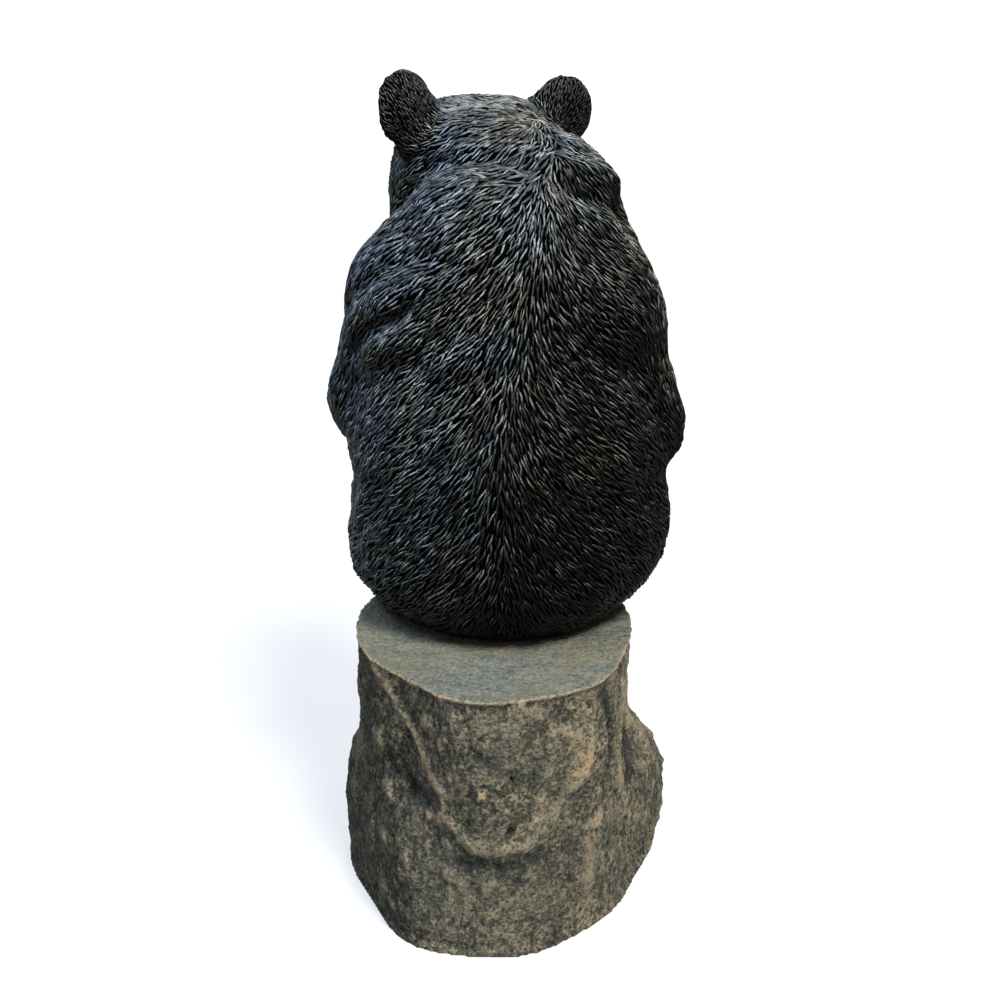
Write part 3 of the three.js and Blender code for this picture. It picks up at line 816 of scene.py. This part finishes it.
def combs(points):
    """(distance, direction, stroke size in mm, group) of every part at these points."""
    local = to_head(points)
    nose = gap_to(local, (0, -26, -4))
    face_length, face_width = np.clip(2.6 + 0.3 * nose, 2.6, 8.4), np.clip(0.75 + 0.03 * nose, 0.8, 1.3)
    face_size = np.stack((face_length, face_width, np.clip(0.12 + 0.025 * nose, 0.16, 0.62)), 1)
    size = lambda *mm: np.tile(np.array(mm, float), (len(points), 1))
    torso = np.min(
        [
            ball(points, (0, -11.5, 13), (27, 22.5, 19)),
            ball(points, (-0.5, -9, 35), (27.6, 22, 28)),
            ball(points, (0, -22, 23), (22, 18.5, 20)),
            ball(points, (0, -18, 53), (18, 14.5, 19)),
        ],
        axis=0,
    )
    neck = np.min(
        [
            ball(points, (0.5, -8.5, 57), (24, 17.5, 20)),
            ball(points, (1.5, -6.5, 72), (14.5, 11.5, 12)),
            ball(points, (-7.2, -14, 75), (13, 11, 12.5)),
            limb(points, (0, -12, 66), (3.4, -20, 75), 16, 12.5),
        ],
        axis=0,
    )
    skull = np.min([ball(local, (-0.4, 1, 0), (14, 15, 12.4)), ball(local, (0, -8.5, 2.8), (10, 9, 7.8))], axis=0)
    jaw = limb(local, (0, -8, -9.6), (0, -20, -10.6), 6, 4.4)
    snout = np.minimum(limb(local, (0, -10, -3.2), (0, -21.5, -4.8), 8.4, 6.2), jaw)
    yield torso, torso_comb(points), size(11.5, 1.45, 0.85), "body"
    yield neck, torso_comb(points), size(9.8, 1.4, 0.8), "body"
    yield np.minimum(skull, snout), head_comb(points, local), face_size, "head"
    for side in SIDES:
        outward = unit(local - (10.5 * side, 2.6, 3)) @ HEAD_TURN.T
        yield np.maximum(ear_off(local, side) - 0.8, ear_root(local)), outward, size(4.6, 0.9, 0.36), "head"
        elbow, paw = ELBOW_AT[side], PAW_AT[side]
        top = 60.5 if side > 0 else 59
        shoulder = (18 * side, -11, top - 4)
        wrist = (paw[0] + side, paw[1] + 5.5, paw[2] + 1.2)
        down_arm = np.subtract(elbow, shoulder) + (3 * side, 3, -4)
        yield limb(points, shoulder, elbow, 9.6, 8.6), steady(points, down_arm), size(10.5, 1.35, 0.72), "limbs"
        forearm = limb(points, elbow, wrist, 8.2, 6.6)
        yield forearm, steady(points, np.subtract(wrist, elbow)), size(8.5, 1.25, 0.62), "limbs"
        yield paw_off(points, side), steady(points, (0, -1, -0.25)), size(5, 1.05, 0.42), "limbs"
        haunch = ball(points, (15.2 * side, -13.5, 14), (13.2, 17, 15.5))
        yield haunch, steady(points, (0.35 * side, -0.55, -0.8)), size(11, 1.4, 0.75), "body"
        thigh = limb(points, (14 * side, -17, 11), (KNEE_AT * side, -34.5, 9.5), 13.5, 11.2)
        yield thigh, steady(points, (0.12 * side, -1, -0.35)), size(11, 1.4, 0.75), "limbs"
        shin = limb(points, (KNEE_AT * side, -36, 8), (16.4 * side, -36.5, -8), 10, 8.2)
        yield shin, steady(points, (0, -0.12, -1)), size(9, 1.3, 0.65), "limbs"
        yield foot_off(points, side), steady(points, (0, -1, -0.1)), size(6, 1.1, 0.48), "limbs"


GROUPS = ["body", "head", "limbs"]
MIXING = 1.5


def comb(points):
    """Direction, stroke size in metres and group at each point, before it is laid on the surface."""
    total, size, most = np.zeros((len(points), 3)), np.zeros((len(points), 3)), np.zeros(len(points))
    share = np.zeros(len(points))
    group = np.zeros(len(points), int)
    for distance, direction, mm, name in combs(points):
        weight = np.exp(-np.clip(distance, -6, 30) / MIXING)
        total += weight[:, None] * direction
        size += weight[:, None] * mm
        share += weight
        group = np.where(weight > most, GROUPS.index(name), group)
        most = np.maximum(most, weight)
    return unit(total), size / share[:, None] * MM, group


def laid(direction, normal):
    """The part of a direction that lies in the surface."""
    return unit(direction - (direction * normal).sum(1)[:, None] * normal)


sample_way = comb(to_units(np.array([[0.0, 0.05, 0.3]])))
print("comb on the back:", sample_way[0].round(2), "size", (sample_way[1] / MM).round(2), "mm")

# %% [markdown]
# Where does each stroke go? Points are thrown over the skin at random, and one is kept only if no stroke is there
# yet. A block of small cells remembers what is taken. Each stroke kept takes the cells along and beside it, so
# strokes end up about a width apart, and their ends overlap as those of real fur do.

# %% Finding a place for each stroke
THROWS = 330_000
CELL = 0.5 * MM
ALONG_TAKEN = 0.24
ACROSS_TAKEN = 0.74
WAVE = 0.32 * MM
STRAY = 8
rng = np.random.default_rng(7)

corners = skin_points[skin_faces]
areas = np.linalg.norm(np.cross(corners[:, 1] - corners[:, 0], corners[:, 2] - corners[:, 0]), axis=1) / 2
detail = 1 + 2.2 * np.exp(-np.linalg.norm(to_head(to_units(corners.mean(1))) / (19, 24, 20), axis=1) ** 4)
odds = areas * detail
picked = rng.choice(len(areas), THROWS, p=odds / odds.sum())
u, v = rng.random((2, THROWS))
u, v = np.where(u + v > 1, 1 - u, u), np.where(u + v > 1, 1 - v, v)
shares = np.stack((1 - u - v, u, v), 1)
thrown = (corners[picked] * shares[:, :, None]).sum(1)
normal = unit((skin_normals[skin_faces[picked]] * shares[:, :, None]).sum(1))
way, size, group = comb(to_units(thrown))
way = laid(way, normal)
local = to_head(to_units(thrown))


def bare(points, local):
    """Where no stroke belongs: on the nose, the eyes, the lips, the claws and the pads."""
    eyes = np.min([gap_to(local, mirrored(EYE_AT, side)) for side in SIDES], axis=0) < 2.5
    nose = ball(local, NOSE_AT, (3.6, 2.6, 2.8)) < 0.9
    lips = (lips_off(local) < 0.85) & (local[:, 1] < -8)
    nails = np.min([limb(points, a + 0.2 * (b - a), b, 1.4, 0.8) for a, b in CLAWS], axis=0) < 0
    return (pads_off(points) < 0.6) | eyes | nose | lips | nails


free = ~bare(to_units(thrown), local) & (stump_off(thrown, 3 * MM) > 0.9 * MM)
thrown, normal, way, size, group = (a[free] for a in (thrown, normal, way, size, group))
stretch = rng.uniform(0.75, 1.3, len(thrown))
length = size[:, 0] * stretch
width = size[:, 1] * rng.uniform(0.65, 1.15, len(thrown))
across = np.cross(normal, way)
low = thrown.min(0) - 8 * MM
grid = np.ceil((thrown.max(0) + 8 * MM - low) / CELL).astype(int)
strides = np.array((1, grid[0], grid[0] * grid[1]))


def cells_of(points):
    return ((points - low) / CELL).astype(int) @ strides


tests = np.stack([cells_of(thrown + way * (length * k)[:, None]) for k in (-ALONG_TAKEN, 0, ALONG_TAKEN)], 1)
taken = np.zeros(int(grid.prod()) + 1, np.uint8)
lookup = memoryview(taken)
kept = []
for i, (a, b, c) in enumerate(tests.tolist()):
    if lookup[a] or lookup[b] or lookup[c]:
        continue
    kept.append(i)
    reach, side = ALONG_TAKEN * length[i], ACROSS_TAKEN * width[i]
    s = np.arange(-reach, reach, CELL * 0.8)[:, None, None, None] * way[i]
    t = np.linspace(-side, side, max(3, int(2 * side / CELL) + 2))[None, :, None, None] * across[i]
    n = np.array((-CELL, 0, CELL))[None, None, :, None] * normal[i]
    taken[cells_of((thrown[i] + s + t + n).reshape(-1, 3))] = 1
kept = np.array(kept)
del taken, lookup
print(len(kept), "strokes:", {name: int((group[kept] == g).sum()) for g, name in enumerate(GROUPS)})

# %% [markdown]
# One stroke is a long pebble of three-sided section: a ball with three sides and four rings, one edge up. It is
# made once, with bmesh. Its rings are then placed along the comb, each ring set back onto the skin, so that the
# stroke bends as the coat does. Up, side and length of a stroke make a left-handed frame, which would turn the
# pebble inside out, so its faces are turned over here and point outwards once it is laid.

# %% One stroke
RINGS = 4
bm = bmesh.new()
bmesh.ops.create_uvsphere(bm, u_segments=3, v_segments=RINGS + 1, radius=1)
bmesh.ops.recalc_face_normals(bm, faces=bm.faces)
bmesh.ops.reverse_faces(bm, faces=bm.faces)
pebble = places(bm)
pebble_faces = [[v.index for v in f.verts] for f in bm.faces]
bm.free()
stations = np.unique(pebble[:, 2].round(5))
station_of = np.searchsorted(stations, pebble[:, 2].round(5) - 1e-6)
print(len(pebble), "points,", len(pebble_faces), "faces, rings at", stations)


# %% [markdown]
# Laying a stroke is done for all strokes at once: from its middle, a small step along the comb, back onto the
# skin, and again, to both ends.


# %% Laying the strokes
def onto_skin(points):
    at, up = np.empty_like(points), np.empty_like(points)
    for i, p in enumerate(points):
        near, face_normal, _, _ = skin_tree.find_nearest(p)
        at[i], up[i] = near, face_normal
    return at, up


def paths(start, normal, way, length):
    """Points, normals and ways at every station of every stroke."""
    count = len(start)
    at, up, along = (np.empty((len(stations), count, 3)) for _ in range(3))
    half = length / 2
    for end in (-1, 1):
        here, here_up, here_way, last = start, normal, way, 0.0
        for k in sorted((i for i in range(len(stations)) if stations[i] * end > 0), key=lambda i: abs(stations[i])):
            step = (abs(stations[k]) - last) * half
            last = abs(stations[k])
            here, here_up = onto_skin(here + end * step[:, None] * here_way)
            turned, _, _ = comb(to_units(here))
            here_up = unit(here_up * 0.6 + normal * 0.4)
            here_way = laid(0.35 * turned + 0.65 * here_way, here_up)
            at[k], up[k], along[k] = here, here_up, here_way
    return at, up, along


EAR_TONE = 0.15
start, normal, way, size, group = (a[kept] for a in (thrown, normal, way, size, group))
length, width = length[kept], width[kept]
stray = rng.normal(0, math.radians(STRAY), len(kept))
way = unit(way * np.cos(stray)[:, None] + np.cross(normal, way) * np.sin(stray)[:, None])
tall = size[:, 2] * rng.uniform(0.7, 1.6, len(kept))
tone = rng.random(len(kept))
middles = to_head(to_units(start))
tone[(least(ear_off, middles) < 1) & (ear_root(middles) < 0)] *= EAR_TONE
phase = rng.uniform(0, 2 * math.pi, len(kept))
bends = rng.uniform(0.7, 1.8, len(kept))
at, up, along = paths(start, normal, way, length)
beside = np.cross(up, along)
wobble = WAVE * (size[:, 1] / (1.4 * MM)) * np.sin(phase + stations[:, None] * math.pi * bends)
at = at + beside * wobble[:, :, None]
shortest, longest = (round(float(v / MM), 1) for v in (length.min(), length.max()))
print("paths for", len(start), "strokes of", shortest, "to", longest, "mm")

# %% [markdown]
# The strokes of each part of the body make one piece. Two values go with them for the paint: ridge, which is 1
# along the top edge of a stroke and 0 at its foot, and tone, which differs a little from stroke to stroke.

# %% Strokes as pieces
MOST_TRIANGLES = 190_000
TIP_LIFT = 0.35
FULL = 1.42
FUR_GAP = 0.1 * MM
stroke_triangles = sum(len(f) - 2 for f in pebble_faces)


def stroke_piece(name, chosen):
    count = len(chosen)
    k = station_of
    widen = np.interp(pebble[:, 2], (-1, -0.3, 0.4, 1), (0.85, 1, 1, 0.6))
    sideways = pebble[:, 1] / 0.866 * widen
    rise = pebble[:, 0] * np.where(pebble[:, 0] > 0, 1, 0.95) + TIP_LIFT * smoothstep(pebble[:, 2], -0.2, 1)
    points = at[k][:, chosen] + beside[k][:, chosen] * (sideways[:, None] * FULL * width[chosen] / 2)[:, :, None]
    points = points + up[k][:, chosen] * (rise[:, None] * tall[chosen])[:, :, None]
    points = points.transpose(1, 0, 2).reshape(-1, 3)
    for i in np.flatnonzero(points[:, 2] < STUMP_TOP + 1.5 * MM):
        near, face_normal, _, _ = stump_tree.find_nearest(points[i])
        if (Vector(points[i]) - near).dot(face_normal) < FUR_GAP:
            points[i] = near + face_normal * FUR_GAP
    loops = (np.concatenate(pebble_faces) + len(pebble) * np.arange(count)[:, None]).ravel()
    sizes = np.tile([len(f) for f in pebble_faces], count)
    mesh = bpy.data.meshes.new(name)
    mesh.vertices.add(len(points))
    mesh.vertices.foreach_set("co", points.ravel())
    mesh.loops.add(len(loops))
    mesh.loops.foreach_set("vertex_index", loops)
    mesh.polygons.add(len(sizes))
    mesh.polygons.foreach_set("loop_start", np.concatenate(([0], np.cumsum(sizes)[:-1])))
    mesh.update(calc_edges=True)
    mesh.polygons.foreach_set("use_smooth", [True] * len(sizes))
    ridges = np.tile(np.clip(pebble[:, 0] * 1.1, 0, 1), count)
    for key, values in (("ridge", ridges), ("tone", np.repeat(tone[chosen], len(pebble)))):
        mesh.attributes.new(key, "FLOAT", "POINT").data.foreach_set("value", values)
    made = bpy.data.objects.new(name, mesh)
    bpy.context.scene.collection.objects.link(made)
    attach(made, "root")
    return made


fur = []
for g, name in enumerate(GROUPS):
    members = np.flatnonzero(group == g)
    parts = math.ceil(len(members) * stroke_triangles / MOST_TRIANGLES)
    order = members[np.argsort(start[members, 0])]
    for i, chosen in enumerate(np.array_split(order, parts)):
        fur.append(stroke_piece(f"fur_{name}_{i + 1}", chosen))
        print(fur[-1].name, len(chosen), "strokes,", len(chosen) * stroke_triangles, "triangles")

# %% [markdown]
# The coat is black with a satin sheen. The foot of a stroke is darkest, and its ridge is greyer: partly dry-brushed
# paint, partly a painted sheen. The grey goes by which way the surface faces, as painted light from above: most on
# the shoulders, and nearly none underneath. That is a guess, made because the photographed low back is black. The
# grey is varied by small specks of painted glint, and cooler on the bear's left, as a painted reflection of cool
# light from that side, where the photograph is bluish. The muzzle of a black bear is tan, so a mask measured from
# the muzzle's middle lets tan through there, softly, as an airbrush does. The skin under the strokes has no grey.
# It has leather on its pads, and is darker by the nose and the lips.

# %% Paint of the fur
# Painted light from above: how much of the ridge grey shows, from surfaces facing down to surfaces facing up.
PAINTED_LIGHT_BY_FACING = [(0.1, 0.01), (0.3, (0.07, 0.069, 0.052)), (0.45, (0.37, 0.366, 0.31))]
PAINTED_LIGHT_BY_FACING += [(0.6, 0.88), (0.76, 0.92), (0.94, 0.58)]
MUZZLE_RADII = (0.026, 0.037, 0.024)


def muzzle_mask(material, point):
    off = vector_maths(material, "SUBTRACT", point, tuple(to_metres(from_head((0, -20.5, -4.6)))))[0]
    turn = add(material, "VectorRotate", [("Vector", off), ("Angle", -HEAD_YAW)], rotation_type="Z_AXIS")
    scaled = vector_maths(material, "DIVIDE", turn.outputs[0], MUZZLE_RADII)[0]
    reach = vector_maths(material, "LENGTH", scaled)["Value"]
    total = maths(material, "MULTIPLY_ADD", speckle(material, point, 160), 0.3, reach)
    return ramp(material, total, (0.72, 1.0), (1.12, 0.0))


def fur_paint(name, ridged, roughness=0.36):
    material = finish(name, roughness, 0.2 if ridged else 0.0)
    point = object_point(material)
    patch = speckle(material, point, 55)
    black = ramp(material, patch, (0.35, (0.0006, 0.0006, 0.0007)), (0.65, (0.0016, 0.0016, 0.0017)))
    if ridged:
        greys = [(0.0, (0.036, 0.036, 0.037)), (0.55, (0.135, 0.136, 0.136)), (1.0, (0.34, 0.345, 0.348))]
        grey = ramp(material, number(material, "tone"), *greys)
        tints = ramp(material, speckle(material, point, 26), (0.4, (0.86, 0.95, 0.98)), (0.6, (1.0, 0.97, 0.78)))
        faces_to = facing(material)
        grey = times(material, grey, tints)
        # Painted reflection: ridges facing the bear's left are tinted cooler, as cool side light would show on them.
        grey = times(material, grey, (0.78, 0.97, 1.32, 1), remap(material, faces_to["X"], 0.1, 0.75, end=0.6))
        # Painted glints: small specks make the ridge grey lighter and darker.
        grey = times(material, grey, ramp(material, speckle(material, point, 520), (0.36, 0.45), (0.64, 1.25)))
        # Painted light from above: the grey is strongest on up-facing surfaces and nearly gone underneath.
        grey = times(material, grey, ramp(material, remap(material, faces_to["Z"], -0.5, 1.0), *PAINTED_LIGHT_BY_FACING))
        # Ridges take the grey, and on the muzzle a lighter tan: partly dry-brushed paint, partly a painted sheen.
        share = ramp(material, number(material, "ridge"), (0.34, 0.0), (0.66, 1.0))
        black = blend(material, share, black, grey)
        tan = blend(material, share, (0.05, 0.03, 0.016, 1), (0.2, 0.125, 0.068, 1))
    else:
        tan = ramp(material, patch, (0.35, (0.05, 0.03, 0.016)), (0.65, (0.085, 0.052, 0.028)))
        tan = blend(material, number(material, "dark"), tan, (0.006, 0.004, 0.003, 1))
    colour = blend(material, muzzle_mask(material, point), black, tan)
    if not ridged:
        grained = speckle(material, point, 420, 3)
        leather = ramp(material, grained, (0.35, (0.016, 0.013, 0.012)), (0.65, (0.048, 0.041, 0.037)))
        colour = blend(material, number(material, "pad"), colour, leather)
    feed(material, "Base Color", colour)
    sheen = speckle(material, point, 140)
    feed(material, "Roughness", ramp(material, sheen, (0.35, roughness - 0.08), (0.65, roughness + 0.1)))
    feed(material, "Normal", relief(material, speckle(material, point, 900), 0.12 * MM, 0.5))
    return material


black_skin = fur_paint("black_skin", ridged=False, roughness=0.6)
black_fur = fur_paint("black_fur", ridged=True)
skin.data.materials.append(black_skin)
for part in fur:
    part.data.materials.append(black_fur)
print("fur painted")

# %% [markdown]
# Eyes, nose and claws are smooth forms, so each is its own piece. An eye is a polished ball. The nose pad is a ball
# pulled broad at the top, with two nostrils pressed in and a groove down its middle.

# %% Eyes
EYE_SUNK = 0.38
EYE_BALL = 1.02 * EYE_RADIUS * UNIT
bm = bmesh.new()
for side in SIDES:
    centre = to_metres(from_head(mirrored(EYE_AT, side) + (-0.12 * side, EYE_SUNK, 0)))
    made = bmesh.ops.create_uvsphere(bm, u_segments=28, v_segments=18, radius=EYE_BALL)
    bmesh.ops.translate(bm, verts=made["verts"], vec=Vector(centre))
eyes = piece_of(bm, "eyes")
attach(eyes, "root")

eye_gloss = finish("eye_gloss", 0.1, 0.16)
point = object_point(eye_gloss)
browns = [(0.3, (0.003, 0.0015, 0.001)), (0.7, (0.01, 0.0045, 0.002))]
feed(eye_gloss, "Base Color", ramp(eye_gloss, speckle(eye_gloss, point, 400, 3), *browns))
feed(eye_gloss, "Normal", relief(eye_gloss, speckle(eye_gloss, point, 260), 0.03 * MM, 0.2))
eyes.data.materials.append(eye_gloss)
print("eyes", round(EYE_BALL / MM * 2, 1), "mm across")

# %% Nose
bm = bmesh.new()
bmesh.ops.create_uvsphere(bm, u_segments=56, v_segments=40, radius=1)
for v in bm.verts:
    x, y, z = v.co
    broad = 1 + 0.16 * z - 0.1 * (z < 0) * z * z
    nostril = math.exp(-(((abs(x) - 0.45) / 0.2) ** 2) - ((z + 0.1 + 0.45 * (abs(x) - 0.45)) / 0.19) ** 2) * (y < 0)
    wing = math.exp(-(((abs(x) - 0.78) / 0.13) ** 2) - ((z + 0.28) / 0.2) ** 2) * (y < 0)
    groove = math.exp(-((x / 0.085) ** 2)) * (y < 0) * (1 - max(z, 0))
    v.co.x = x * broad
    v.co.y = y + 0.5 * nostril + 0.16 * wing + 0.16 * groove
for v in bm.verts:
    v.co = Vector(to_metres(from_head(np.array(v.co) * NOSE_RADII + NOSE_AT)))
bmesh.ops.recalc_face_normals(bm, faces=bm.faces)
nose = piece_of(bm, "nose_pad")
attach(nose, "root")

nose_paint = finish("nose_paint", 0.4, 0.22)
point = object_point(nose_paint)
cells = add(nose_paint, "TexVoronoi", [("Vector", point), ("Scale", 1300)], feature="SMOOTH_F1").outputs["Distance"]
feed(nose_paint, "Base Color", ramp(nose_paint, cells, (0.2, (0.014, 0.013, 0.013)), (0.8, (0.003, 0.003, 0.003))))
feed(nose_paint, "Normal", relief(nose_paint, cells, -0.5 * MM, 0.9))
nose.data.materials.append(nose_paint)
print("nose", (NOSE_RADII * 2 * UNIT / MM).round(1), "mm")

# %% [markdown]
# A claw is a ring drawn out and narrowed in a curve, which is what extrude, scale and turn do, six times over. Each
# is made at the origin as long as its toe asks, and then set at the toe.

# %% Claws
CLAW_SIDES = 10
CLAW_STEPS = 6
CLAW_RADIUS = 1.12
CLAW_RISE = math.radians(12)
CLAW_CURL = math.radians(11)
bm = bmesh.new()
for start_at, tip_at in CLAWS:
    reach = float(np.linalg.norm(tip_at - start_at)) + 0.5
    made = bmesh.ops.create_circle(bm, cap_ends=True, segments=CLAW_SIDES, radius=CLAW_RADIUS)
    ring = list(dict.fromkeys(e for v in made["verts"] for e in v.link_edges))
    everything = list(made["verts"])
    bmesh.ops.rotate(bm, verts=everything, matrix=Matrix.Rotation(math.radians(90) - CLAW_RISE, 3, "X"))
    heading = -CLAW_RISE
    for step in range(CLAW_STEPS):
        share = (step + 1) / CLAW_STEPS
        drawn = bmesh.ops.extrude_edge_only(bm, edges=ring)["geom"]
        verts = [g for g in drawn if isinstance(g, bmesh.types.BMVert)]
        ring = [g for g in drawn if isinstance(g, bmesh.types.BMEdge)]
        heading += CLAW_CURL
        move = Vector((0, -math.cos(heading), -math.sin(heading))) * reach / CLAW_STEPS
        bmesh.ops.translate(bm, verts=verts, vec=move)
        middle = sum((v.co for v in verts), Vector()) / len(verts)
        narrow = ((1 - share * 0.93) / (1 - (share - 1 / CLAW_STEPS) * 0.93)) ** 0.8
        curl = Matrix.Rotation(CLAW_CURL, 4, "X") @ Matrix.Scale(narrow, 4)
        bmesh.ops.transform(bm, verts=verts, matrix=curl, space=Matrix.Translation(-middle))
        everything += verts
    bmesh.ops.contextual_create(bm, geom=verts)
    for v in everything:
        v.co = Vector(to_metres(np.array(v.co) + start_at + (0, 0.7, 0)))
bmesh.ops.recalc_face_normals(bm, faces=bm.faces)
claw_set = piece_of(bm, "claws")
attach(claw_set, "root")

horn = finish("claw_horn", 0.3, 0.5)
point = object_point(horn)
lengthwise = add(horn, "Mapping", [("Vector", point), ("Scale", (1, 0.15, 1))]).outputs[0]
streak = speckle(horn, lengthwise, 900, 3)
feed(horn, "Base Color", ramp(horn, streak, (0.3, (0.018, 0.014, 0.011)), (0.7, (0.075, 0.058, 0.043))))
feed(horn, "Normal", relief(horn, streak, 0.12 * MM, 0.4))
claw_set.data.materials.append(horn)
print(len(CLAWS), "claws in one piece,", len(claw_set.data.polygons), "faces")

# %% [markdown]
# Last, the scene is brought up to date.

# %% Update
bpy.context.view_layer.update()
